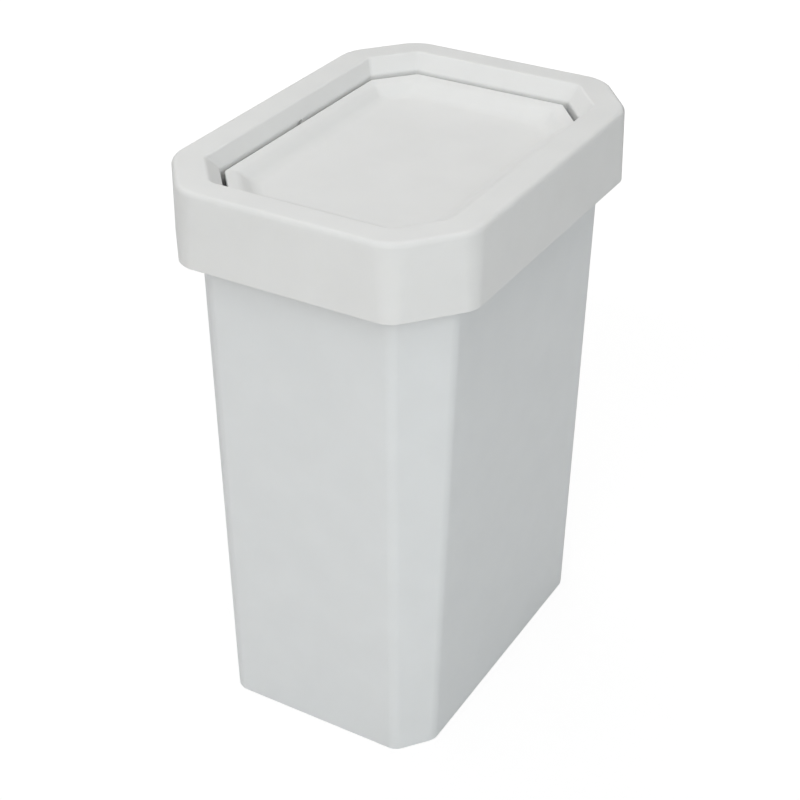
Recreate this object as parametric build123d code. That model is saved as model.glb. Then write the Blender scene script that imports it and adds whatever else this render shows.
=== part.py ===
# Swing-lid kitchen bin: a tapered pail with cut corners, a lift-off lid with a deep skirt
# and a funnel-shaped well, and a dished flap that swings on two stub pins in the well.
#
# Millimetres. +Z is up, the front is -Y, the pins lie along X, and the origin is on the
# floor under the middle of the bin.

import os
from math import hypot
from typing import NamedTuple

from build123d import *

# Pail. A cut corner takes a length across the bin, off its ends, and one along it, off its
# sides.
base_width = 157.7
base_depth = 237.2
base_cut_across = 17.6
base_cut_along = 22.1
mouth_width = 179.5
mouth_depth = 249.3
mouth_cut_across = 27.4
mouth_cut_along = 32.2
pail_height = 377.8
pail_wall = 2.2
pail_corner_radius = 10.0
floor_thickness = 2.8
floor_radius = 3.0
foot_height = 3.0
foot_ring_width = 7.0
foot_edge_radius = 0.8

# Rolled rim of the pail
rim_overhang_side = 9.3
rim_overhang_end = 10.6
rim_cut_across = 30.8
rim_cut_along = 37.6
rim_corner_radius = 22.0
rim_thickness = 2.2
rim_lip_height = 10.0
rim_edge_radius = 1.0
rim_rib_thickness = 1.8
rim_rib_pitch = 62.0

# Lid shell
lid_wall = 2.2
skirt_height = 48.4
skirt_clearance = 0.7
skirt_flare = 0.6
skirt_corner_radius = 16.0
lid_edge_radius = 3.4
skirt_hem_radius = 0.7

# Well of the lid, set in from the pail's mouth: a funnel below the rim, then an upright collar
well_inset_side = 8.05
well_inset_end = 5.35
well_inset_corner = 5.9
well_corner_radius = 6.0
well_edge_radius = 1.2
well_wall = 2.0
funnel_inset_side = 5.2
funnel_inset_end = 9.3
funnel_inset_corner = 8.3
funnel_drop = 9.0
collar_corner_radius = 4.0
collar_height = 13.0

# Swing flap
flap_drop = 11.0
flap_gap_side = 1.7
flap_gap_end = 1.4
flap_gap_corner = 3.0
flap_corner_radius = 3.0
flap_edge_radius = 0.6
flap_wall = 2.2
flap_lip_height = 5.5
flap_lip_wall = 2.0

# Dish of the flap: a level land at the edge, a shallow border, then a steeper slope
dish_land = 1.5
border_inset_side = 4.8
border_inset_end = 7.0
border_inset_corner = 6.6
border_drop = 1.2
border_corner_radius = 5.0
slope_inset_side = 8.5
slope_inset_end = 10.5
slope_inset_corner = 8.5
slope_drop = 6.8
dish_corner_radius = 9.0
dish_floor_radius = 5.0

# Pivot
pin_radius = 2.4
pin_clearance = 0.05
pin_below_flap_top = 5.0
pin_engagement = 5.0
pin_end_gap = 0.8
socket_wall = 2.5
ear_width = 14.0
ear_depth = 6.0
groove_clearance = 0.3
groove_depth = 2.0
groove_below_funnel = 1.0

# Working allowances: how far a cutting solid runs past the face it opens, the least radius
# that a narrowed corner keeps, and the most of an upright corner's radius that a rounding
# round its foot may take
overrun = 1.0
least_radius = 0.5
rounding_share = 0.8


class Outline(NamedTuple):
    """A rectangle with its corners cut off, every corner that is left rounded."""

    width: float
    depth: float
    cut_across: float
    cut_along: float
    radius: float

    def inset(self, side, end, corner, radius):
        """The outline drawn in by its own distance at the sides, ends and cut corners."""
        corner_reach = corner * hypot(self.cut_across, self.cut_along)
        share = 1 - side / self.cut_across - end / self.cut_along
        share += corner_reach / (self.cut_across * self.cut_along)
        width = self.width - 2 * side
        depth = self.depth - 2 * end
        return Outline(width, depth, share * self.cut_across, share * self.cut_along, radius)

    def grown(self, distance):
        """The parallel outline, the given distance outside this one."""
        radius = max(self.radius + distance, least_radius)
        return self.inset(-distance, -distance, -distance, radius)

    def with_radius(self, radius):
        """The same outline with its corners rounded to another radius."""
        return Outline(self.width, self.depth, self.cut_across, self.cut_along, radius)

    def at(self, z):
        """The outline as a level face at height z."""
        half_x = self.width / 2
        half_y = self.depth / 2
        inner_x = half_x - self.cut_across
        inner_y = half_y - self.cut_along
        quarter = [(inner_x, half_y), (half_x, inner_y)]
        half = quarter + [(x, -y) for x, y in reversed(quarter)]
        whole = half + [(-x, y) for x, y in reversed(half)]
        face = make_face(Polyline(*whole, close=True))
        return Pos(0, 0, z) * fillet(face.vertices(), self.radius)


# Outlines and places worked out from the sizes above
mouth = Outline(
    mouth_width, mouth_depth, mouth_cut_across, mouth_cut_along, pail_corner_radius
)
rim = Outline(
    mouth_width + 2 * rim_overhang_side,
    mouth_depth + 2 * rim_overhang_end,
    rim_cut_across,
    rim_cut_along,
    rim_corner_radius,
)
skirt_inside = rim.grown(skirt_clearance)
skirt_outside = rim.grown(skirt_clearance + lid_wall)
well = mouth.inset(well_inset_side, well_inset_end, well_inset_corner, well_corner_radius)
collar = well.inset(
    funnel_inset_side, funnel_inset_end, funnel_inset_corner, collar_corner_radius
)
flap = collar.inset(flap_gap_side, flap_gap_end, flap_gap_corner, flap_corner_radius)
dish_mouth = flap.grown(-dish_land)
dish_border = dish_mouth.inset(
    border_inset_side, border_inset_end, border_inset_corner, border_corner_radius
)
dish_floor = dish_border.inset(
    slope_inset_side, slope_inset_end, slope_inset_corner, dish_corner_radius
)
bin_height = pail_height + lid_wall
skirt_bottom = bin_height - skirt_height
funnel_bottom = bin_height - funnel_drop
collar_bottom = funnel_bottom - collar_height
flap_top = bin_height - flap_drop
pivot_height = flap_top - pin_below_flap_top
socket_radius = pin_radius + pin_clearance
socket_depth = pin_engagement + pin_end_gap


def between(start, end, share):
    """The value that lies the given share of the way from start to end."""
    return start + (end - start) * share


def pail_outline(z):
    """Outside of the tapered pail at height z."""
    share = z / pail_height
    return Outline(
        between(base_width, mouth_width, share),
        between(base_depth, mouth_depth, share),
        between(base_cut_across, mouth_cut_across, share),
        between(base_cut_along, mouth_cut_along, share),
        pail_corner_radius,
    )


def frustum(*faces):
    """A solid with straight sides through level faces, listed from one end to the other."""
    solid = loft(faces[:2], ruled=True)
    for low, high in zip(faces[1:], faces[2:]):
        solid += loft([low, high], ruled=True)
    return solid


def prism(outline, bottom, top):
    """An upright solid of the outline between two heights."""
    return extrude(outline.at(bottom), top - bottom)


def rounded_edges(solid, z, radius):
    """The solid with every edge that lies in the level plane at z rounded."""
    edges = solid.edges().filter_by_position(Axis.Z, z, z)
    return fillet(edges, radius)


def pail_cavity():
    """The space inside the pail, rounded where the walls meet the floor."""
    floor_top = foot_height + floor_thickness
    above = pail_height + overrun
    cavity = frustum(
        pail_outline(floor_top).grown(-pail_wall).at(floor_top),
        pail_outline(above).grown(-pail_wall).at(above),
    )
    corner_limit = rounding_share * (pail_corner_radius - pail_wall)
    return rounded_edges(cavity, floor_top, min(floor_radius, corner_limit))


def foot_recess():
    """The shallow space under the floor, inside the foot ring."""
    below = -overrun
    return frustum(
        pail_outline(below).grown(-foot_ring_width).at(below),
        pail_outline(foot_height).grown(-foot_ring_width).at(foot_height),
    )


def spaced(length, pitch):
    """Places for copies a pitch apart, centred on a length that holds them."""
    count = int(length // pitch)
    return [(place - (count - 1) / 2) * pitch for place in range(count)]


def rim_ribs():
    """Upright ribs under the rolled rim, between its lip and the pail's wall."""
    height = rim_lip_height - rim_thickness
    middle = pail_height - rim_thickness - height / 2
    across = Box(rim.width - rim_thickness, rim_rib_thickness, height)
    along = Box(rim_rib_thickness, rim.depth - rim_thickness, height)
    side_places = spaced(mouth_depth - 2 * mouth_cut_along, rim_rib_pitch)
    end_places = spaced(mouth_width - 2 * mouth_cut_across, rim_rib_pitch)
    side_ribs = [Pos(0, place, middle) * across for place in side_places]
    end_ribs = [Pos(place, 0, middle) * along for place in end_places]
    return side_ribs + end_ribs


def make_bin_body():
    """The pail: tapered walls, a floor on a foot ring, and a rolled rim that carries the lid."""
    lip_bottom = pail_height - rim_lip_height
    walls = frustum(pail_outline(0).at(0), pail_outline(pail_height).at(pail_height))
    walls = rounded_edges(walls, 0, foot_edge_radius)
    rolled = rounded_edges(prism(rim, lip_bottom, pail_height), pail_height, rim_edge_radius)
    rolled -= prism(
        rim.grown(-rim_thickness), lip_bottom - overrun, pail_height - rim_thickness
    )
    body = walls + rolled
    for rib in rim_ribs():
        body += rib
    return body - pail_cavity() - foot_recess()


def lid_shell():
    """The lid's skirt and top plate, open below."""
    foot_outside = skirt_outside.grown(skirt_flare).with_radius(skirt_corner_radius)
    foot_inside = skirt_inside.grown(skirt_flare).with_radius(skirt_corner_radius - lid_wall)
    shell = frustum(foot_outside.at(skirt_bottom), skirt_outside.at(bin_height))
    shell = rounded_edges(shell, bin_height, lid_edge_radius)
    shell = rounded_edges(shell, skirt_bottom, skirt_hem_radius)
    return shell - frustum(foot_inside.at(skirt_bottom), skirt_inside.at(pail_height))


def well_hollow():
    """The open well, from above the rim to below the collar."""
    funnel = frustum(well.at(bin_height), collar.at(funnel_bottom))
    mouth = prism(well, bin_height, bin_height + overrun)
    return funnel + mouth + prism(collar, collar_bottom - overrun, funnel_bottom)


def well_jacket():
    """The outside of the well's wall, filled in."""
    jacket = collar.grown(well_wall)
    funnel = frustum(well.grown(well_wall).at(bin_height), jacket.at(funnel_bottom))
    return funnel + prism(jacket, collar_bottom, funnel_bottom)


def pin_bar(radius, x_start, x_end):
    """A round bar on the pivot axis between two places along X."""
    bar = Rot(0, 90, 0) * Cylinder(radius, abs(x_end - x_start))
    return Pos((x_start + x_end) / 2, 0, pivot_height) * bar


def upright_block(x_start, x_end, width, bottom, top):
    """A box centred on the pivot between two places along X and two heights."""
    block = Box(abs(x_end - x_start), width, top - bottom)
    return Pos((x_start + x_end) / 2, 0, (bottom + top) / 2) * block


def socket_block(side):
    """The block behind the collar that holds one pin's socket; side is +1 or -1."""
    inner = collar.width / 2
    outer = inner + socket_depth + socket_wall
    width = 2 * (socket_radius + socket_wall)
    top = pail_height + lid_wall / 2
    return upright_block(side * inner, side * outer, width, collar_bottom, top)


def socket_cut(side):
    """One pin's socket with the groove above it that gives the pin room to snap in."""
    inner = collar.width / 2
    start = side * (inner - overrun)
    bore = pin_bar(socket_radius, start, side * (inner + socket_depth))
    width = 2 * (pin_radius + groove_clearance)
    top = funnel_bottom - groove_below_funnel
    groove_end = side * (inner + groove_depth)
    return bore + upright_block(start, groove_end, width, pivot_height, top)


def well_rim_edges(lid):
    """The edges where the well opens through the lid's top face."""
    top_edges = lid.edges().filter_by_position(Axis.Z, bin_height, bin_height)
    half_x = well.width / 2 + least_radius
    half_y = well.depth / 2 + least_radius
    return top_edges.filter_by(
        lambda edge: abs(edge.center().X) < half_x and abs(edge.center().Y) < half_y
    )


def make_lid_frame():
    """The lid: skirt, top plate, funnel-shaped well and the two pin sockets."""
    lid = lid_shell() + well_jacket()
    for side in (-1, 1):
        lid += socket_block(side)
    lid -= well_hollow()
    lid = fillet(well_rim_edges(lid), well_edge_radius)
    for side in (-1, 1):
        lid -= socket_cut(side)
    return lid


def dish(drop):
    """The dished space over the flap's sheet, lowered by drop to give the sheet's underside."""
    mouth_top = flap_top - drop
    border_top = mouth_top - border_drop
    floor_top = border_top - slope_drop
    hollow = frustum(
        dish_mouth.at(mouth_top), dish_border.at(border_top), dish_floor.at(floor_top)
    )
    limit = rounding_share * dish_corner_radius
    return rounded_edges(hollow, floor_top, min(dish_floor_radius, limit))


def flap_ear(side):
    """The thick place inside the flap's lip that one pin grows from."""
    outer = flap.width / 2
    bottom = pivot_height - pin_radius - flap_lip_wall / 2
    top = flap_top - flap_wall / 2
    return upright_block(side * (outer - ear_depth), side * outer, ear_width, bottom, top)


def make_swing_flap():
    """The flap: a dished sheet with a turned-down lip, and a stub pin on each long side."""
    sheet_bottom = flap_top - flap_wall
    lip_bottom = flap_top - flap_lip_height
    sheet = rounded_edges(prism(flap, sheet_bottom, flap_top), flap_top, flap_edge_radius)
    lip = prism(flap, lip_bottom, sheet_bottom)
    lip -= prism(flap.grown(-flap_lip_wall), lip_bottom - overrun, sheet_bottom)
    swinging = sheet + lip + dish(flap_wall)
    for side in (-1, 1):
        swinging += flap_ear(side)
    swinging -= dish(0)
    for side in (-1, 1):
        root = side * (flap.width / 2 - ear_depth / 2)
        tip = side * (collar.width / 2 + pin_engagement)
        swinging += pin_bar(pin_radius, root, tip)
    return swinging


def write_parts():
    """Write each piece to its own file, named for its node."""
    pieces = {
        "bin_body": make_bin_body(),
        "lid_frame": make_lid_frame(),
        "swing_flap": make_swing_flap(),
    }
    os.makedirs("parts", exist_ok=True)
    for name, piece in pieces.items():
        export_step(piece, "parts/" + name + ".step")


write_parts()
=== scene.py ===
"""Swing-lid kitchen bin in satin white plastic, with the stage that it stands on.

Lengths are in metres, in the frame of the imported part: +Z is up, the front is -Y, the flap's
pins lie along X, and the floor is at zero.
"""

from math import atan2, cos, hypot, pi, radians, sin, tan
from typing import NamedTuple

import bpy
from bpy.props import FloatProperty, FloatVectorProperty, PointerProperty
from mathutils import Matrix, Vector


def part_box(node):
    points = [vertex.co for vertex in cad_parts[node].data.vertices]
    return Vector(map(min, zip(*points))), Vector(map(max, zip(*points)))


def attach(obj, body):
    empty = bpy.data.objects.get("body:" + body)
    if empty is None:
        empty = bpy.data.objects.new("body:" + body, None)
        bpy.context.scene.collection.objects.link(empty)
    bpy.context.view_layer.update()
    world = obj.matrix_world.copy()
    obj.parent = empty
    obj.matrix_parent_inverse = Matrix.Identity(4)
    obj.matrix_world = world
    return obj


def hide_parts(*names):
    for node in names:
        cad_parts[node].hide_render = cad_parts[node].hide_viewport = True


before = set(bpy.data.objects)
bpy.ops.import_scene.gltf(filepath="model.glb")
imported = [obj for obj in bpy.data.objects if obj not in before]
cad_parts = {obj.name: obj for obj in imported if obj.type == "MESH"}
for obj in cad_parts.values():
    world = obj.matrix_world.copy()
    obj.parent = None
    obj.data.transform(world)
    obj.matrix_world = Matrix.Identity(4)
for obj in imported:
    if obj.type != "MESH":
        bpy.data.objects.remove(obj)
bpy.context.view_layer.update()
pail_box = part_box("bin_body")
lid_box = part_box("lid_frame")

bl_info = {
    "name": "Swing-Lid Kitchen Bin",
    "version": (1, 0, 0),
    "blender": (4, 5, 0),
    "location": "View3D > Sidebar > Kitchen Bin",
    "description": "Models a tapered kitchen bin with a lift-off lid and a swinging flap",
    "category": "Add Mesh",
}

MILLIMETRE = 0.001
SAME_PLACE = 0.00001
X_AXIS, Y_AXIS = 0, 1

# How finely the mouldings are rounded, and where their shading breaks
CORNER_SEGMENTS = 10
EDGE_SEGMENTS = 6
BLOCK_SEGMENTS = 3
ROUND_VERTICES = 48
SHARP_ANGLE = radians(32)
BAR_END_ANGLE = radians(60)

# Height between the loops of a stack until they are joined
STACK_GAP = 0.5

# Roundings and overlaps that are too small to be worth setting
TRACE = MILLIMETRE / 20
BORE_EDGE = MILLIMETRE / 10
CUT_EDGE = MILLIMETRE / 4
RIB_OVERLAP = MILLIMETRE / 4
PIN_EDGE = MILLIMETRE / 2
LEAST_RADIUS = MILLIMETRE / 2

# Scales of the plastic's patterns, per metre
RIPPLE_SCALE = 16.0
MOTTLING_SCALE = 34.0
SCUFF_SCALE = 40.0
SCUFF_STRETCH = (1.0, 1.0, 14.0)
SATIN_SCALE = 90.0
PATCH_SCALE = 140.0
GRAIN_SCALE = 2600.0

# The part of each pattern's noise that shows, from where it is weakest to where it is strongest
NOISE_RANGE = (0.3, 0.7)
PATCH_RANGE = (0.4, 0.6)
SCUFF_RANGE = (0.58, 0.7)
EDGE_RANGE = (0.99, 0.85)
NONE_TO_ALL = (0.0, 1.0)

# How far the plastic's shade and roughness wander
DARKER_SHADE = 0.985
LIGHTER_SHADE = 1.01
# Lighter band at sharp edges: a painted highlight along the edges, together with rubbed wear
EDGE_HIGHLIGHT_AND_WEAR_SHADE = 1.06
LEAST_EDGE_HIGHLIGHT_AND_WEAR = 0.2
SMOOTHER_BY = 0.04
ROUGHER_BY = 0.05

# How the plastic bends light and lets it through
PLASTIC_IOR = 1.49
SEE_IN_WEIGHT = 0.12
SEE_IN_COLOUR = (1.0, 0.95, 0.85)
SEE_IN_DEPTH = 0.0018


def length(name, description, default):
    """A length that a user can set, in metres."""
    return FloatProperty(
        name=name, description=description, default=default, unit="LENGTH", precision=4
    )


def share(name, description, default):
    """A share from nothing to all that a user can set."""
    return FloatProperty(
        name=name, description=description, default=default, min=0.0, max=1.0, subtype="FACTOR"
    )


def colour(name, description, default):
    """A colour that a user can set."""
    return FloatVectorProperty(
        name=name, description=description, default=default, size=3, subtype="COLOR",
        min=0.0, max=1.0,
    )


class PailSizes(bpy.types.PropertyGroup):
    """Sizes of the pail."""

    height: length("Height", "Height of the pail to the top of its rim", pail_box[1].z)
    base_width: length("Base Width", "Width of the foot, along X", 0.1577)
    base_depth: length("Base Depth", "Depth of the foot, along Y", 0.2372)
    base_across: length("Base Cut Across", "Length the corners take off the ends", 0.0176)
    base_along: length("Base Cut Along", "Length the corners take off the sides", 0.0221)
    mouth_width: length("Mouth Width", "Width of the walls at the mouth", 0.1795)
    mouth_depth: length("Mouth Depth", "Depth of the walls at the mouth", 0.2493)
    mouth_across: length("Mouth Cut Across", "Length the corners take off the ends", 0.0274)
    mouth_along: length("Mouth Cut Along", "Length the corners take off the sides", 0.0322)
    corner_radius: length("Corner Radius", "Rounding of the upright corners", 0.010)
    wall: length("Wall", "Thickness of the walls", 0.0022)
    foot_height: length("Foot Height", "Height of the floor's underside", 0.003)
    foot_ring: length("Foot Ring", "Width of the ring that the pail stands on", 0.007)
    foot_radius: length("Foot Radius", "Rounding of the foot's outer edge", 0.0012)
    floor: length("Floor", "Thickness of the floor", 0.0028)
    floor_radius: length("Floor Radius", "Rounding between walls and floor", 0.003)
    rim_side: length("Rim at Sides", "How far the rolled rim stands out at the sides", 0.0093)
    rim_end: length("Rim at Ends", "How far the rolled rim stands out at the ends", 0.0106)
    rim_across: length("Rim Cut Across", "Length the corners take off the ends", 0.0308)
    rim_along: length("Rim Cut Along", "Length the corners take off the sides", 0.0376)
    rim_radius: length("Rim Corner Radius", "Rounding of the rim's corners", 0.022)
    rim_drop: length("Rim Drop", "Height of the rim's turned-down lip", 0.010)
    rim_wall: length("Rim Wall", "Thickness of the rolled rim", 0.0022)
    rib_wall: length("Rib Wall", "Thickness of the ribs under the rim", 0.0018)
    rib_pitch: length("Rib Pitch", "Distance between the ribs under the rim", 0.062)


class LidSizes(bpy.types.PropertyGroup):
    """Sizes of the lid."""

    top: length("Top", "Height of the lid's top face", lid_box[1].z)
    wall: length("Wall", "Thickness of the skirt and top", 0.0022)
    skirt: length("Skirt", "Height of the skirt", 0.0484)
    clearance: length("Clearance", "Gap between the pail's rim and the skirt", 0.0007)
    flare: length("Flare", "How far the skirt spreads at its hem", 0.0006)
    hem_corner: length("Hem Corner", "Rounding of the skirt's corners at the hem", 0.016)
    hem_radius: length("Hem Radius", "Rounding of the hem's edges", 0.0007)
    edge_radius: length("Edge Radius", "Rounding between skirt and top", 0.0034)
    well_side: length("Well Inset at Sides", "From the pail's mouth to the well", 0.00805)
    well_end: length("Well Inset at Ends", "From the pail's mouth to the well", 0.00535)
    well_corner: length("Well Inset at Corners", "From the pail's mouth to the well", 0.0059)
    well_radius: length("Well Corner Radius", "Rounding of the well's corners", 0.006)
    well_edge: length("Well Edge", "Rounding of the edge round the well", 0.0012)
    well_wall: length("Well Wall", "Thickness of the well's wall", 0.002)
    funnel_side: length("Funnel at Sides", "How far the funnel draws in at the sides", 0.0052)
    funnel_end: length("Funnel at Ends", "How far the funnel draws in at the ends", 0.0093)
    funnel_corner: length("Funnel at Corners", "How far it draws in at the corners", 0.0083)
    funnel_drop: length("Funnel Drop", "Depth of the funnel below the top", 0.009)
    collar_radius: length("Collar Corner Radius", "Rounding of the collar's corners", 0.004)
    collar_drop: length("Collar Drop", "Height of the upright collar", 0.013)


class FlapSizes(bpy.types.PropertyGroup):
    """Sizes of the swinging flap and its pins."""

    drop: length("Drop", "From the lid's top to the flap's edge", 0.011)
    gap_side: length("Gap at Sides", "Gap to the collar at the sides", 0.0017)
    gap_end: length("Gap at Ends", "Gap to the collar at the ends", 0.0014)
    gap_corner: length("Gap at Corners", "Gap to the collar at the corners", 0.003)
    corner_radius: length("Corner Radius", "Rounding of the flap's corners", 0.003)
    edge_radius: length("Edge Radius", "Rounding of the flap's outer edge", 0.00075)
    wall: length("Wall", "Thickness of the flap", 0.0022)
    lip: length("Lip", "Height of the turned-down lip", 0.0055)
    lip_wall: length("Lip Wall", "Thickness of the turned-down lip", 0.002)
    land: length("Land", "Width of the level land at the edge", 0.0015)
    border_side: length("Border at Sides", "Width of the shallow border at the sides", 0.0048)
    border_end: length("Border at Ends", "Width of the shallow border at the ends", 0.007)
    border_corner: length("Border at Corners", "Width of the border at the corners", 0.0066)
    border_drop: length("Border Drop", "How far the border falls", 0.0012)
    border_radius: length("Border Corner Radius", "Rounding of the border's corners", 0.005)
    slope_side: length("Slope at Sides", "Width of the steeper slope at the sides", 0.0085)
    slope_end: length("Slope at Ends", "Width of the steeper slope at the ends", 0.0105)
    slope_corner: length("Slope at Corners", "Width of the slope at the corners", 0.0085)
    slope_drop: length("Slope Drop", "How far the slope falls", 0.0068)
    dish_radius: length("Dish Corner Radius", "Rounding of the dish's corners", 0.009)
    pin_radius: length("Pin Radius", "Radius of the stub pins", 0.0024)
    pin_clearance: length("Pin Clearance", "Gap round a pin in its socket", 0.00005)
    pin_drop: length("Pin Drop", "From the flap's edge to the pins' axis", 0.005)
    pin_length: length("Pin Length", "How far a pin reaches into the collar", 0.005)
    pin_end_gap: length("Pin End Gap", "Gap at the end of a pin", 0.0008)
    socket_wall: length("Socket Wall", "Thickness of the socket's wall", 0.0025)
    groove_depth: length("Groove Depth", "Depth of the groove above a socket", 0.002)
    groove_gap: length("Groove Gap", "Gap beside a pin in the groove", 0.0003)
    groove_below: length("Groove Below Funnel", "From the funnel's foot to the groove", 0.001)
    ear_width: length("Ear Width", "Width of the thick place behind a pin", 0.014)
    ear_depth: length("Ear Depth", "Depth of the thick place behind a pin", 0.006)


class PlasticFinish(bpy.types.PropertyGroup):
    """Colours and surface of the moulded plastic."""

    pail_colour: colour("Pail Colour", "Plastic of the pail", (0.800, 0.816, 0.821))
    lid_colour: colour("Lid Colour", "Plastic of the lid and flap", (0.820, 0.822, 0.814))
    roughness: share("Roughness", "How matt the plastic is", 0.47)
    grain: length("Grain Height", "Height of the fine moulded grain", 0.000012)
    ripple: length("Ripple Height", "Height of the slow waves left by cooling", 0.00022)
    scuffs: share("Scuffs", "How much duller the faint scuffs are", 0.08)
    # Lighter band at sharp edges and its width: a painted highlight along the edges, together with
    # rubbed wear that also dulls them
    edge_wear: share("Edge Wear", "How far the sharp edges are rubbed pale and dull", 0.35)
    edge_width: length("Edge Width", "Width of the rubbed band at sharp edges", 0.0011)


class StageSettings(bpy.types.PropertyGroup):
    """Camera, lamps and floor."""

    focal_length: FloatProperty(
        name="Focal Length", description="Lens of the camera, in millimetres", default=75.85
    )
    camera_place: FloatVectorProperty(
        name="Camera Place", description="Where the camera stands", subtype="TRANSLATION",
        default=(0.47376, -0.81957, 0.78244), unit="LENGTH",
    )
    camera_azimuth: FloatProperty(
        name="Camera Azimuth", description="Turn of the camera round the bin, from the front",
        default=radians(30.233), subtype="ANGLE",
    )
    camera_elevation: FloatProperty(
        name="Camera Elevation", description="How far the camera looks down",
        default=radians(32.132), subtype="ANGLE",
    )
    floor_radius: length("Floor Radius", "Radius of the pale floor", 6.0)
    floor_colour: colour("Floor Colour", "Colour of the floor", (0.86, 0.86, 0.86))
    sky_strength: FloatProperty(
        name="Sky Strength", description="Light that comes evenly from all round", default=0.1
    )
    lamp_distance: length("Lamp Distance", "From the lamps to the middle of the bin", 2.7)
    floor_glow: FloatProperty(
        name="Floor Glow", description="Brightness that the camera sees in the floor",
        default=1.105,
    )
    floor_glow_share: share("Glow Share", "How much of the floor's look is its glow", 0.78)
    fade_start: length("Fade Start", "Where the glow starts to take over the floor", 0.5)
    fade_end: length("Fade End", "Where the floor is all glow", 1.1)


class Outline(NamedTuple):
    """A rectangle with its corners cut off, every corner that is left rounded."""

    width: float
    depth: float
    cut_across: float
    cut_along: float
    radius: float

    def inset(self, side, end, corner, radius):
        """The outline drawn in by its own distance at the sides, ends and cut corners."""
        corner_reach = corner * hypot(self.cut_across, self.cut_along)
        kept = 1 - side / self.cut_across - end / self.cut_along
        kept += corner_reach / (self.cut_across * self.cut_along)
        width = self.width - 2 * side
        depth = self.depth - 2 * end
        return Outline(width, depth, kept * self.cut_across, kept * self.cut_along, radius)

    def grown(self, distance):
        """The parallel outline, the given distance outside this one."""
        radius = max(self.radius + distance, LEAST_RADIUS)
        return self.inset(-distance, -distance, -distance, radius)

    def with_radius(self, radius):
        """The same outline with its corners rounded to another radius."""
        return Outline(self.width, self.depth, self.cut_across, self.cut_along, radius)


class Level(NamedTuple):
    """One outline of a moulding at its height, and the rounding of the edge there."""

    outline: Outline
    height: float
    rounding: float = 0.0


def blend(start, end, amount):
    """The value that lies the given share of the way from start to end."""
    return start + (end - start) * amount


def pail_outline(pail, height):
    """Outside of the tapered pail at a height."""
    amount = height / pail.height
    return Outline(
        blend(pail.base_width, pail.mouth_width, amount),
        blend(pail.base_depth, pail.mouth_depth, amount),
        blend(pail.base_across, pail.mouth_across, amount),
        blend(pail.base_along, pail.mouth_along, amount),
        pail.corner_radius,
    )


def rim_outline(pail):
    """Outside of the pail's rolled rim."""
    return Outline(
        pail.mouth_width + 2 * pail.rim_side,
        pail.mouth_depth + 2 * pail.rim_end,
        pail.rim_across,
        pail.rim_along,
        pail.rim_radius,
    )


def well_outline(pail, lid):
    """Opening of the well in the lid's top."""
    mouth = pail_outline(pail, pail.height)
    return mouth.inset(lid.well_side, lid.well_end, lid.well_corner, lid.well_radius)


def collar_outline(pail, lid):
    """Inside of the upright collar under the funnel."""
    well = well_outline(pail, lid)
    return well.inset(lid.funnel_side, lid.funnel_end, lid.funnel_corner, lid.collar_radius)


def flap_outline(pail, lid, flap):
    """Outside of the flap's lip."""
    collar = collar_outline(pail, lid)
    return collar.inset(flap.gap_side, flap.gap_end, flap.gap_corner, flap.corner_radius)


def edit(select_mode="VERT"):
    """Opens the active object for editing with nothing selected."""
    bpy.ops.object.mode_set(mode="EDIT")
    bpy.ops.mesh.select_mode(type=select_mode)
    bpy.ops.mesh.select_all(action="DESELECT")


def only(*objects):
    """Selects these objects alone; the first is active."""
    bpy.ops.object.select_all(action="DESELECT")
    for item in objects:
        item.select_set(True)
    bpy.context.view_layer.objects.active = objects[0]


def settle(item):
    """Moves an object's place, turn and scale into its mesh."""
    only(item)
    bpy.ops.object.transform_apply(location=True, rotation=True, scale=True)


def finish_modifier(item, kind, **settings):
    """Adds a modifier with these settings and applies it."""
    only(item)
    bpy.ops.object.modifier_add(type=kind)
    modifier = item.modifiers[-1]
    for name, value in settings.items():
        setattr(modifier, name, value)
    bpy.ops.object.modifier_apply(modifier=modifier.name)


def bevel_corners(loop, axis, reach, segments):
    """Bevels the corners of a loop that stand farthest out along an axis."""
    edit()
    bpy.ops.object.mode_set(mode="OBJECT")
    farthest = max(vertex.co[axis] for vertex in loop.data.vertices)
    for vertex in loop.data.vertices:
        vertex.select = abs(vertex.co[axis]) > farthest - SAME_PLACE
    bpy.ops.object.mode_set(mode="EDIT")
    bpy.ops.mesh.bevel(
        affect="VERTICES", offset_type="OFFSET", offset=reach, segments=segments,
        profile=0.5, clamp_overlap=False,
    )
    bpy.ops.object.mode_set(mode="OBJECT")


def outline_loop(outline, number):
    """An outline as a closed loop of edges, marked with its number and set apart by it.

    The corners are cut while the loop is stretched so far across that each cut is even.
    """
    bpy.ops.object.select_all(action="DESELECT")
    bpy.ops.mesh.primitive_plane_add(size=1.0, location=(0.0, 0.0, number * STACK_GAP))
    loop = bpy.context.object
    stretch = outline.cut_along / outline.cut_across
    loop.scale = (outline.width * stretch, outline.depth, 1.0)
    settle(loop)
    bevel_corners(loop, X_AXIS, outline.cut_along, 1)
    loop.scale = (1 / stretch, 1.0, 1.0)
    settle(loop)
    end_turn = atan2(outline.cut_along, outline.cut_across)
    for axis, turn in ((Y_AXIS, end_turn), (X_AXIS, pi / 2 - end_turn)):
        bevel_corners(loop, axis, outline.radius * tan(turn / 2), CORNER_SEGMENTS)
    bpy.ops.object.mode_set(mode="EDIT")
    bpy.ops.mesh.select_all(action="SELECT")
    bpy.ops.mesh.delete(type="ONLY_FACE")
    bpy.ops.object.mode_set(mode="OBJECT")
    mark = loop.data.attributes.new("level", "INT", "POINT")
    mark.data.foreach_set("value", [number] * len(loop.data.vertices))
    return loop


def select_loops(mesh, numbers):
    """Selects only the edges that lie within each of these levels of a stack."""
    bpy.ops.mesh.select_all(action="DESELECT")
    bpy.ops.object.mode_set(mode="OBJECT")
    marks = mesh.attributes["level"].data
    for edge in mesh.edges:
        start, end = (marks[vertex].value for vertex in edge.vertices)
        edge.select = start == end and start in numbers
    bpy.ops.object.mode_set(mode="EDIT")


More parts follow.
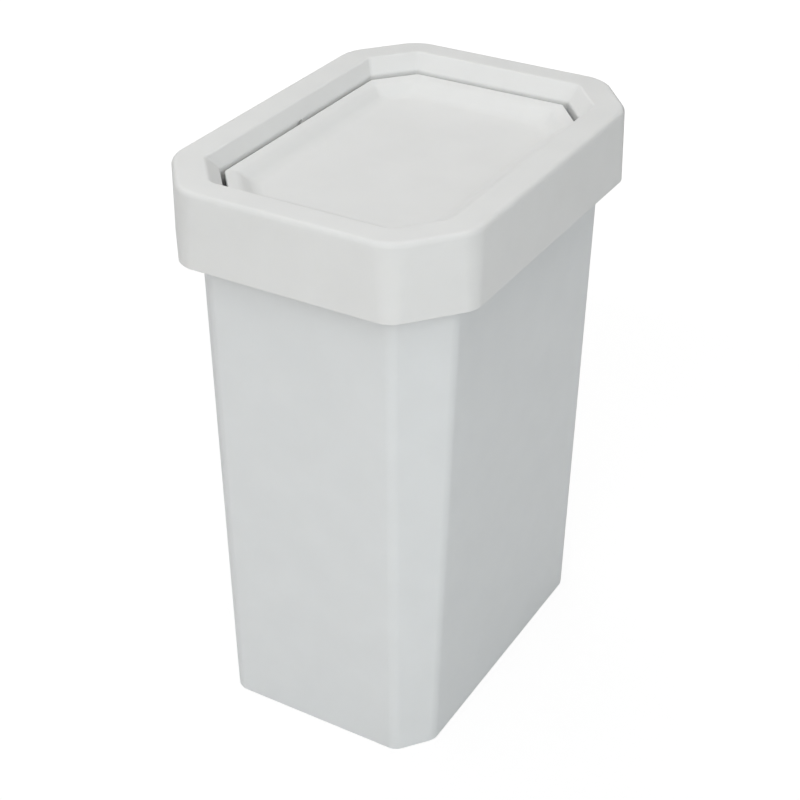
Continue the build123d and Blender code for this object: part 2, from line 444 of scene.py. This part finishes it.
def moulding(name, levels, closed=False):
    """A moulding through a stack of levels, each joined to the next and its edges rounded.

    A closed moulding joins its last level to its first; any other has a face at both ends.
    The loops stand well apart until they are joined, so that none is bridged with a twist.
    """
    loops = [outline_loop(level.outline, number) for number, level in enumerate(levels)]
    only(*loops)
    bpy.ops.object.join()
    body = bpy.context.object
    body.name = name
    body.data.name = name
    edit("EDGE")
    pairs = [(number, number + 1) for number in range(len(levels) - 1)]
    if closed:
        pairs.append((len(levels) - 1, 0))
    for pair in pairs:
        select_loops(body.data, pair)
        bpy.ops.mesh.bridge_edge_loops()
    if not closed:
        for number in (0, len(levels) - 1):
            select_loops(body.data, (number,))
            bpy.ops.mesh.edge_face_add()
    for number, level in enumerate(levels):
        select_loops(body.data, (number,))
        bpy.ops.transform.translate(value=(0.0, 0.0, level.height - number * STACK_GAP))
    bpy.ops.mesh.select_all(action="SELECT")
    bpy.ops.mesh.normals_make_consistent(inside=False)
    bpy.ops.object.mode_set(mode="OBJECT")
    round_levels(body, levels)
    return body


def round_levels(body, levels):
    """Rounds the edges of each level of a moulding by its own amount."""
    widest = max(level.rounding for level in levels)
    marks = body.data.attributes["level"].data
    weights = []
    for edge in body.data.edges:
        start, end = (marks[vertex].value for vertex in edge.vertices)
        weights.append(levels[start].rounding / widest if start == end else 0.0)
    weight = body.data.attributes.new("bevel_weight_edge", "FLOAT", "EDGE")
    weight.data.foreach_set("value", weights)
    finish_modifier(
        body, "BEVEL", limit_method="WEIGHT", width=widest, offset_type="OFFSET",
        segments=EDGE_SEGMENTS, profile=0.5, use_clamp_overlap=False,
    )
    for left_over in ("bevel_weight_edge", "level"):
        found = body.data.attributes.get(left_over)
        if found:
            body.data.attributes.remove(found)


def block(low, high, rounding):
    """A block between two corners with its edges rounded."""
    bpy.ops.object.select_all(action="DESELECT")
    middle = (Vector(low) + Vector(high)) / 2
    bpy.ops.mesh.primitive_cube_add(size=1.0, location=middle)
    made = bpy.context.object
    made.scale = Vector(high) - Vector(low)
    settle(made)
    finish_modifier(
        made, "BEVEL", limit_method="NONE", width=rounding, segments=BLOCK_SEGMENTS
    )
    return made


def bar(radius, x_start, x_end, height, rounding):
    """A round bar along X on the pivot axis with its ends rounded."""
    bpy.ops.object.select_all(action="DESELECT")
    bpy.ops.mesh.primitive_cylinder_add(
        vertices=ROUND_VERTICES, radius=radius, depth=abs(x_end - x_start),
        location=((x_start + x_end) / 2, 0.0, height), rotation=(0.0, pi / 2, 0.0),
    )
    made = bpy.context.object
    settle(made)
    finish_modifier(
        made, "BEVEL", limit_method="ANGLE", angle_limit=BAR_END_ANGLE, width=rounding,
        segments=BLOCK_SEGMENTS,
    )
    return made


def combine(body, other, operation):
    """Adds another solid to a body or cuts it away, and takes the other one out."""
    finish_modifier(body, "BOOLEAN", operation=operation, object=other, solver="EXACT")
    bpy.data.objects.remove(other)


def smooth(body):
    """Shades a moulding smooth over its rounded edges and flat over its faces."""
    only(body)
    bpy.ops.object.shade_smooth_by_angle(angle=SHARP_ANGLE)
    finish_modifier(body, "WEIGHTED_NORMAL", mode="FACE_AREA", weight=50, keep_sharp=True)


def spaced(span, pitch):
    """Places for copies a pitch apart, centred on a span that holds them."""
    count = int(span // pitch)
    return [(place - (count - 1) / 2) * pitch for place in range(count)]


def sheltered_ribs(pail):
    """Corners of the blocks for the ribs between the rim's lip and the pail's wall."""
    bottom = pail.height - pail.rim_drop + MILLIMETRE
    top = pail.height - pail.rim_wall / 2
    half_wall = pail.rib_wall / 2
    rim = rim_outline(pail)
    reach_in = pail.wall / 2 + RIB_OVERLAP
    inner_x = pail.mouth_width / 2 - reach_in
    inner_y = pail.mouth_depth / 2 - reach_in
    outer_x = rim.width / 2 - pail.rim_wall / 2
    outer_y = rim.depth / 2 - pail.rim_wall / 2
    side_span = pail.mouth_depth - 2 * pail.mouth_along
    end_span = pail.mouth_width - 2 * pail.mouth_across
    found = []
    for side in (-1, 1):
        for place in spaced(side_span, pail.rib_pitch):
            x_ends = sorted((side * inner_x, side * outer_x))
            found.append(
                ((x_ends[0], place - half_wall, bottom), (x_ends[1], place + half_wall, top))
            )
        for place in spaced(end_span, pail.rib_pitch):
            y_ends = sorted((side * inner_y, side * outer_y))
            found.append(
                ((place - half_wall, y_ends[0], bottom), (place + half_wall, y_ends[1], top))
            )
    return found


class PlasticNodes:
    """The nodes of one plastic, each made with its links in one call."""

    def __init__(self, name):
        self.material = bpy.data.materials.new(name)
        self.material.use_nodes = True
        self.nodes = self.material.node_tree.nodes
        self.links = self.material.node_tree.links
        self.shader = self.nodes["Principled BSDF"]
        self.place = self.nodes.new("ShaderNodeTexCoord").outputs["Object"]

    def noise(self, scale, detail, stretch=(1.0, 1.0, 1.0)):
        """Noise in the object's own space, finer along each axis by its stretch."""
        spread = self.nodes.new("ShaderNodeVectorMath")
        spread.operation = "MULTIPLY"
        spread.inputs[1].default_value = stretch
        self.links.new(self.place, spread.inputs[0])
        texture = self.nodes.new("ShaderNodeTexNoise")
        texture.inputs["Scale"].default_value = scale
        texture.inputs["Detail"].default_value = detail
        self.links.new(spread.outputs["Vector"], texture.inputs["Vector"])
        return texture.outputs["Fac"]

    def remap(self, value, shown, low, high):
        """A value taken from the range that is shown onto the range low to high."""
        ramp = self.nodes.new("ShaderNodeMapRange")
        start, end = shown
        ranges = {"From Min": start, "From Max": end, "To Min": low, "To Max": high}
        for name, limit in ranges.items():
            ramp.inputs[name].default_value = limit
        self.links.new(value, ramp.inputs["Value"])
        return ramp.outputs["Result"]

    def combined(self, operation, first, second):
        """Two values added or multiplied."""
        step = self.nodes.new("ShaderNodeMath")
        step.operation = operation
        self.links.new(first, step.inputs[0])
        self.links.new(second, step.inputs[1])
        return step.outputs["Value"]

    def edges(self, width):
        """How near a point lies to a sharp edge, from none to one."""
        bevel = self.nodes.new("ShaderNodeBevel")
        bevel.samples = 4
        bevel.inputs["Radius"].default_value = width
        surface = self.nodes.new("ShaderNodeNewGeometry")
        likeness = self.nodes.new("ShaderNodeVectorMath")
        likeness.operation = "DOT_PRODUCT"
        self.links.new(bevel.outputs["Normal"], likeness.inputs[0])
        self.links.new(surface.outputs["Normal"], likeness.inputs[1])
        return self.remap(likeness.outputs["Value"], EDGE_RANGE, *NONE_TO_ALL)

    def tint(self, factor, first, second):
        """A colour between two, by a factor."""
        mix = self.nodes.new("ShaderNodeMix")
        mix.data_type = "RGBA"
        for name, value in (("A", first), ("B", second)):
            if isinstance(value, bpy.types.NodeSocket):
                self.links.new(value, mix.inputs[name])
            else:
                mix.inputs[name].default_value = [*value, 1.0]
        self.links.new(factor, mix.inputs["Factor"])
        return mix.outputs["Result"]

    def bump(self, height, distance, under=None):
        """Relief from a height, on top of the relief under it."""
        relief = self.nodes.new("ShaderNodeBump")
        relief.inputs["Strength"].default_value = 1.0
        relief.inputs["Distance"].default_value = distance
        self.links.new(height, relief.inputs["Height"])
        if under:
            self.links.new(under, relief.inputs["Normal"])
        return relief.outputs["Normal"]


def shade_of(base, amount):
    """A colour made lighter or darker, and never lighter than white."""
    return [min(amount * part, 1.0) for part in base]


def plastic(name, base, finish):
    """Satin moulded plastic: mottled, faintly scuffed, finely grained, its sharp edges lighter from
    a painted highlight and from rubbed wear.
    """
    made = PlasticNodes(name)
    shader = made.shader
    shader.inputs["IOR"].default_value = PLASTIC_IOR
    shader.inputs["Subsurface Weight"].default_value = SEE_IN_WEIGHT
    shader.inputs["Subsurface Radius"].default_value = SEE_IN_COLOUR
    shader.inputs["Subsurface Scale"].default_value = SEE_IN_DEPTH

    mottled = made.remap(made.noise(MOTTLING_SCALE, detail=3.0), NOISE_RANGE, *NONE_TO_ALL)
    body = made.tint(mottled, shade_of(base, DARKER_SHADE), shade_of(base, LIGHTER_SHADE))
    # Lighter, duller band along the sharp edges, in patches: a painted highlight, together with
    # rubbed wear
    patchy = made.remap(made.noise(PATCH_SCALE, detail=3.0), PATCH_RANGE, LEAST_EDGE_HIGHLIGHT_AND_WEAR, 1.0)
    rubbed = made.combined("MULTIPLY", made.edges(finish.edge_width), patchy)
    wear = made.remap(rubbed, NONE_TO_ALL, 0.0, finish.edge_wear)
    colour_out = made.tint(wear, body, shade_of(base, EDGE_HIGHLIGHT_AND_WEAR_SHADE))
    made.links.new(colour_out, shader.inputs["Base Color"])

    smoother = finish.roughness - SMOOTHER_BY
    rougher = finish.roughness + ROUGHER_BY
    satin = made.remap(made.noise(SATIN_SCALE, detail=4.0), NOISE_RANGE, smoother, rougher)
    streaks = made.noise(SCUFF_SCALE, detail=5.0, stretch=SCUFF_STRETCH)
    scuffs = made.remap(streaks, SCUFF_RANGE, 0.0, finish.scuffs)
    scuffed = made.combined("ADD", satin, scuffs)
    dulled = made.remap(rubbed, NONE_TO_ALL, 0.0, finish.edge_wear * finish.roughness)
    made.links.new(made.combined("ADD", scuffed, dulled), shader.inputs["Roughness"])

    waves = made.bump(made.noise(RIPPLE_SCALE, detail=1.0), finish.ripple)
    grain = made.bump(made.noise(GRAIN_SCALE, detail=2.0), finish.grain, under=waves)
    made.links.new(grain, shader.inputs["Normal"])
    return made.material


def dress(piece, material, node, body):
    """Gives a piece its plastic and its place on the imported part."""
    piece.data.materials.clear()
    piece.data.materials.append(material)
    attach(piece, body)
    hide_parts(node)


class BIN_OT_pail(bpy.types.Operator):
    """Model the tapered pail with its foot ring, rolled rim and ribs"""

    bl_idname = "kitchen_bin.pail"
    bl_label = "Pail"

    def execute(self, context):
        """Stacks the pail's levels, from the floor's underside to its top, and adds the ribs."""
        pail = context.scene.bin_pail
        finish = context.scene.bin_finish
        rim = rim_outline(pail)
        lip_bottom = pail.height - pail.rim_drop
        under_rim = pail.height - pail.rim_wall
        floor_top = pail.foot_height + pail.floor
        ring_inside = pail_outline(pail, 0.0).grown(-pail.foot_ring)
        small = pail.rim_wall / 3
        levels = [
            Level(ring_inside, pail.foot_height, small),
            Level(ring_inside, 0.0, small),
            Level(pail_outline(pail, 0.0), 0.0, pail.foot_radius),
            Level(pail_outline(pail, under_rim), under_rim, small),
            Level(rim.grown(-pail.rim_wall), under_rim, small),
            Level(rim.grown(-pail.rim_wall), lip_bottom, small),
            Level(rim, lip_bottom, small),
            Level(rim, pail.height, pail.rim_wall / 2),
            Level(pail_outline(pail, pail.height).grown(-pail.wall), pail.height, small),
            Level(
                pail_outline(pail, floor_top).grown(-pail.wall), floor_top, pail.floor_radius
            ),
        ]
        body = moulding("pail", levels)
        for low, high in sheltered_ribs(pail):
            combine(body, block(low, high, pail.rib_wall / 8), "UNION")
        smooth(body)
        dress(body, plastic("pail_plastic", finish.pail_colour, finish), "bin_body", "pail")
        return {"FINISHED"}


class BIN_OT_lid(bpy.types.Operator):
    """Model the lid with its skirt, funnel, collar and the flap's two sockets"""

    bl_idname = "kitchen_bin.lid"
    bl_label = "Lid"

    def execute(self, context):
        """Stacks the lid's levels round its wall, then adds and cuts the sockets."""
        pail = context.scene.bin_pail
        lid = context.scene.bin_lid
        flap = context.scene.bin_flap
        finish = context.scene.bin_finish
        rim = rim_outline(pail)
        skirt_inside = rim.grown(lid.clearance)
        skirt_outside = rim.grown(lid.clearance + lid.wall)
        hem_inside = skirt_inside.grown(lid.flare).with_radius(lid.hem_corner - lid.wall)
        hem_outside = skirt_outside.grown(lid.flare).with_radius(lid.hem_corner)
        well = well_outline(pail, lid)
        collar = collar_outline(pail, lid)
        under_top = lid.top - lid.wall
        hem = lid.top - lid.skirt
        funnel_bottom = lid.top - lid.funnel_drop
        collar_bottom = funnel_bottom - lid.collar_drop
        small = lid.well_wall / 3
        levels = [
            Level(skirt_inside, under_top, small),
            Level(hem_inside, hem, lid.hem_radius),
            Level(hem_outside, hem, lid.hem_radius),
            Level(skirt_outside, lid.top, lid.edge_radius),
            Level(well, lid.top, lid.well_edge),
            Level(collar, funnel_bottom, lid.well_wall / 2),
            Level(collar, collar_bottom, small),
            Level(collar.grown(lid.well_wall), collar_bottom, small),
            Level(collar.grown(lid.well_wall), funnel_bottom, small),
            Level(well.grown(lid.well_wall), under_top, small),
        ]
        body = moulding("lid", levels, closed=True)
        for side in (-1, 1):
            self.add_socket(body, side, well, collar, lid, flap)
        smooth(body)
        dress(body, plastic("lid_plastic", finish.lid_colour, finish), "lid_frame", "lid")
        return {"FINISHED"}

    def funnel_space(self, well, collar, lid):
        """The space in the funnel, reaching halfway into its wall, that a socket stays out of."""
        half_wall = lid.well_wall / 2
        upper = well.grown(half_wall)
        lower = collar.grown(half_wall)
        levels = [
            Level(lower, lid.top - lid.funnel_drop - lid.collar_drop - MILLIMETRE, TRACE),
            Level(lower, lid.top - lid.funnel_drop, TRACE),
            Level(upper, lid.top, TRACE),
        ]
        return moulding("funnel_space", levels)

    def add_socket(self, body, side, well, collar, lid, flap):
        """One block behind the collar with its bore and the groove above it."""
        face = collar.width / 2
        funnel_bottom = lid.top - lid.funnel_drop
        collar_bottom = funnel_bottom - lid.collar_drop
        pivot = lid.top - flap.drop - flap.pin_drop
        bore = flap.pin_radius + flap.pin_clearance
        bore_depth = flap.pin_length + flap.pin_end_gap
        half_width = bore + flap.socket_wall
        x_ends = sorted((side * (face + MILLIMETRE), side * (face + bore_depth + flap.socket_wall)))
        socket = block(
            (x_ends[0], -half_width, collar_bottom + TRACE),
            (x_ends[1], half_width, lid.top - lid.wall / 2),
            CUT_EDGE,
        )
        combine(socket, self.funnel_space(well, collar, lid), "DIFFERENCE")
        combine(body, socket, "UNION")
        start = side * (face - MILLIMETRE)
        combine(
            body,
            bar(bore, start, side * (face + bore_depth), pivot, BORE_EDGE),
            "DIFFERENCE",
        )
        x_ends = sorted((start, side * (face + flap.groove_depth)))
        half_width = flap.pin_radius + flap.groove_gap
        combine(
            body,
            block(
                (x_ends[0], -half_width, pivot),
                (x_ends[1], half_width, funnel_bottom - flap.groove_below),
                CUT_EDGE,
            ),
            "DIFFERENCE",
        )


class BIN_OT_flap(bpy.types.Operator):
    """Model the dished flap with its turned-down lip and two stub pins"""

    bl_idname = "kitchen_bin.flap"
    bl_label = "Flap"

    def execute(self, context):
        """Stacks the flap's levels, from the dish's floor over the lip to its underside."""
        pail = context.scene.bin_pail
        lid = context.scene.bin_lid
        flap = context.scene.bin_flap
        finish = context.scene.bin_finish
        outer = flap_outline(pail, lid, flap)
        mouth = outer.grown(-flap.land)
        border = mouth.inset(
            flap.border_side, flap.border_end, flap.border_corner, flap.border_radius
        )
        floor = border.inset(
            flap.slope_side, flap.slope_end, flap.slope_corner, flap.dish_radius
        )
        top = lid.top - flap.drop
        border_top = top - flap.border_drop
        floor_top = border_top - flap.slope_drop
        lip_bottom = top - flap.lip
        small = flap.lip_wall / 4
        levels = [
            Level(floor, floor_top, flap.slope_side / 2),
            Level(border, border_top, flap.border_side / 2),
            Level(mouth, top, flap.land / 2),
            Level(outer, top, flap.edge_radius),
            Level(outer, lip_bottom, small),
            Level(outer.grown(-flap.lip_wall), lip_bottom, small),
            Level(outer.grown(-flap.lip_wall), top - flap.wall, small),
            Level(border, border_top - flap.wall, flap.border_side / 4),
            Level(floor, floor_top - flap.wall, flap.slope_side / 2),
        ]
        body = moulding("flap", levels)
        pivot = top - flap.pin_drop
        collar = collar_outline(pail, lid)
        edge = outer.width / 2
        for side in (-1, 1):
            x_ends = sorted((side * (edge - flap.ear_depth), side * (edge - flap.lip_wall / 4)))
            ear_bottom = pivot - flap.pin_radius - flap.lip_wall / 2
            combine(
                body,
                block(
                    (x_ends[0], -flap.ear_width / 2, ear_bottom),
                    (x_ends[1], flap.ear_width / 2, top - flap.border_drop - flap.wall / 2),
                    PIN_EDGE,
                ),
                "UNION",
            )
            root = side * (edge - flap.ear_depth / 2)
            tip = side * (collar.width / 2 + flap.pin_length)
            combine(body, bar(flap.pin_radius, root, tip, pivot, PIN_EDGE), "UNION")
        smooth(body)
        dress(body, plastic("flap_plastic", finish.lid_colour, finish), "swing_flap", "flap")
        return {"FINISHED"}


class Lamp(NamedTuple):
    """A square soft lamp: its place round the bin in degrees, its width, power and colour."""

    name: str
    azimuth: float
    elevation: float
    width: float
    power: float
    colour: tuple


WARM = (1.0, 0.97, 0.93)
NEUTRAL = (1.0, 1.0, 1.0)
COOL = (0.93, 0.98, 1.0)
LAMPS = (
    Lamp("top_lamp", 0.0, 89.0, 2.4, 19.0, NEUTRAL),
    Lamp("low_front_lamp", 15.0, 20.0, 1.6, 13.9, WARM),
    Lamp("high_front_lamp", 15.0, 45.0, 1.6, 13.8, COOL),
    Lamp("right_lamp", 70.0, 25.0, 1.6, 14.9, COOL),
    Lamp("left_lamp", -40.0, 30.0, 3.0, 7.8, NEUTRAL),
    Lamp("left_back_lamp", -110.0, 40.0, 3.0, 20.9, NEUTRAL),
    Lamp("back_lamp", 180.0, 60.0, 3.0, 14.2, WARM),
)


def towards(azimuth, elevation):
    """The direction from the bin to something at this turn from the front and this rise."""
    level = cos(elevation)
    return Vector((sin(azimuth) * level, -cos(azimuth) * level, sin(elevation)))


def add_lamp(lamp, distance):
    """Puts a lamp on the stage, facing the middle of the bin."""
    bpy.ops.object.select_all(action="DESELECT")
    away = towards(radians(lamp.azimuth), radians(lamp.elevation))
    target = Vector((0.0, 0.0, lid_box[1].z / 2))
    bpy.ops.object.light_add(type="AREA", location=target + away * distance)
    made = bpy.context.object
    made.name = lamp.name
    made.rotation_euler = away.to_track_quat("Z", "Y").to_euler()
    made.data.shape = "SQUARE"
    made.data.size = lamp.width
    made.data.energy = lamp.power
    made.data.color = lamp.colour


def floor_material(settings):
    """Pale matt floor that shows near white and keeps the shadow of what stands on it.

    Away from the bin its glow takes over, so that the floor ends in the white around it.
    """
    made = bpy.data.materials.new("pale_floor")
    made.use_nodes = True
    nodes = made.node_tree.nodes
    links = made.node_tree.links
    shader = nodes["Principled BSDF"]
    shader.inputs["Base Color"].default_value = [*settings.floor_colour, 1.0]
    shader.inputs["Roughness"].default_value = 0.9
    shader.inputs["Specular IOR Level"].default_value = 0.1
    glow = nodes.new("ShaderNodeEmission")
    glow.inputs["Strength"].default_value = settings.floor_glow
    place = nodes.new("ShaderNodeTexCoord").outputs["Object"]
    away = nodes.new("ShaderNodeVectorMath")
    away.operation = "LENGTH"
    links.new(place, away.inputs[0])
    fade = nodes.new("ShaderNodeMapRange")
    fade.inputs["From Min"].default_value = settings.fade_start
    fade.inputs["From Max"].default_value = settings.fade_end
    fade.inputs["To Min"].default_value = settings.floor_glow_share
    fade.inputs["To Max"].default_value = 1.0
    links.new(away.outputs["Value"], fade.inputs["Value"])
    seen = nodes.new("ShaderNodeLightPath")
    weight = nodes.new("ShaderNodeMath")
    weight.operation = "MULTIPLY"
    mix = nodes.new("ShaderNodeMixShader")
    links.new(seen.outputs["Is Camera Ray"], weight.inputs[0])
    links.new(fade.outputs["Result"], weight.inputs[1])
    links.new(weight.outputs[0], mix.inputs["Fac"])
    links.new(shader.outputs["BSDF"], mix.inputs[1])
    links.new(glow.outputs["Emission"], mix.inputs[2])
    links.new(mix.outputs["Shader"], nodes["Material Output"].inputs["Surface"])
    return made


def sky(settings):
    """Even light from all round, which the camera sees as plain white."""
    world = bpy.data.worlds.new("studio")
    bpy.context.scene.world = world
    world.use_nodes = True
    nodes = world.node_tree.nodes
    links = world.node_tree.links
    light = nodes["Background"]
    light.inputs["Strength"].default_value = settings.sky_strength
    white = nodes.new("ShaderNodeBackground")
    white.inputs["Strength"].default_value = 1.0
    for shade in (light, white):
        shade.inputs["Color"].default_value = (1.0, 1.0, 1.0, 1.0)
    path = nodes.new("ShaderNodeLightPath")
    mix = nodes.new("ShaderNodeMixShader")
    links.new(path.outputs["Is Camera Ray"], mix.inputs["Fac"])
    links.new(light.outputs["Background"], mix.inputs[1])
    links.new(white.outputs["Background"], mix.inputs[2])
    links.new(mix.outputs["Shader"], nodes["World Output"].inputs["Surface"])


class BIN_OT_stage(bpy.types.Operator):
    """Set up the pale floor, the soft lamps and the camera"""

    bl_idname = "kitchen_bin.stage"
    bl_label = "Stage"

    def execute(self, context):
        """Adds the floor, world, lamps and camera."""
        settings = context.scene.bin_stage
        bpy.ops.object.select_all(action="DESELECT")
        bpy.ops.mesh.primitive_circle_add(
            vertices=96, radius=settings.floor_radius, fill_type="NGON"
        )
        floor = context.object
        floor.name = "floor"
        floor.data.materials.append(floor_material(settings))
        sky(settings)
        for lamp in LAMPS:
            add_lamp(lamp, settings.lamp_distance)
        self.add_camera(context, settings)
        context.scene.view_settings.view_transform = "Standard"
        return {"FINISHED"}

    def add_camera(self, context, settings):
        """Camera at the photograph's viewing angle."""
        back = towards(settings.camera_azimuth, settings.camera_elevation)
        bpy.ops.object.select_all(action="DESELECT")
        bpy.ops.object.camera_add(location=settings.camera_place)
        camera = context.object
        camera.name = "camera"
        camera.rotation_euler = back.to_track_quat("Z", "Y").to_euler()
        camera.data.lens = settings.focal_length
        camera.data.clip_start = MILLIMETRE
        context.scene.camera = camera


class BIN_PT_panel(bpy.types.Panel):
    """The bin's pieces, stage and sizes, in the 3D view's sidebar."""

    bl_label = "Kitchen Bin"
    bl_idname = "BIN_PT_panel"
    bl_space_type = "VIEW_3D"
    bl_region_type = "UI"
    bl_category = "Kitchen Bin"

    def draw(self, context):
        """Lists the operators, then every size and colour."""
        for operator in OPERATORS:
            self.layout.operator(operator.bl_idname)
        for name, group in SETTINGS.items():
            box = self.layout.box()
            box.label(text=group.__name__)
            settings = getattr(context.scene, name)
            for field in group.__annotations__:
                box.prop(settings, field)


SETTINGS = {
    "bin_pail": PailSizes,
    "bin_lid": LidSizes,
    "bin_flap": FlapSizes,
    "bin_finish": PlasticFinish,
    "bin_stage": StageSettings,
}
OPERATORS = (BIN_OT_pail, BIN_OT_lid, BIN_OT_flap, BIN_OT_stage)
CLASSES = (*SETTINGS.values(), *OPERATORS, BIN_PT_panel)


def register():
    """Registers the classes and puts the settings on the scene."""
    for each in CLASSES:
        bpy.utils.register_class(each)
    for name, group in SETTINGS.items():
        setattr(bpy.types.Scene, name, PointerProperty(type=group))


def unregister():
    """Takes the settings and the classes away again."""
    for name in SETTINGS:
        delattr(bpy.types.Scene, name)
    for each in reversed(CLASSES):
        bpy.utils.unregister_class(each)


def main():
    """Builds the bin and its stage."""
    register()
    bpy.ops.kitchen_bin.pail()
    bpy.ops.kitchen_bin.lid()
    bpy.ops.kitchen_bin.flap()
    bpy.ops.kitchen_bin.stage()


if __name__ == "__main__":
    main()
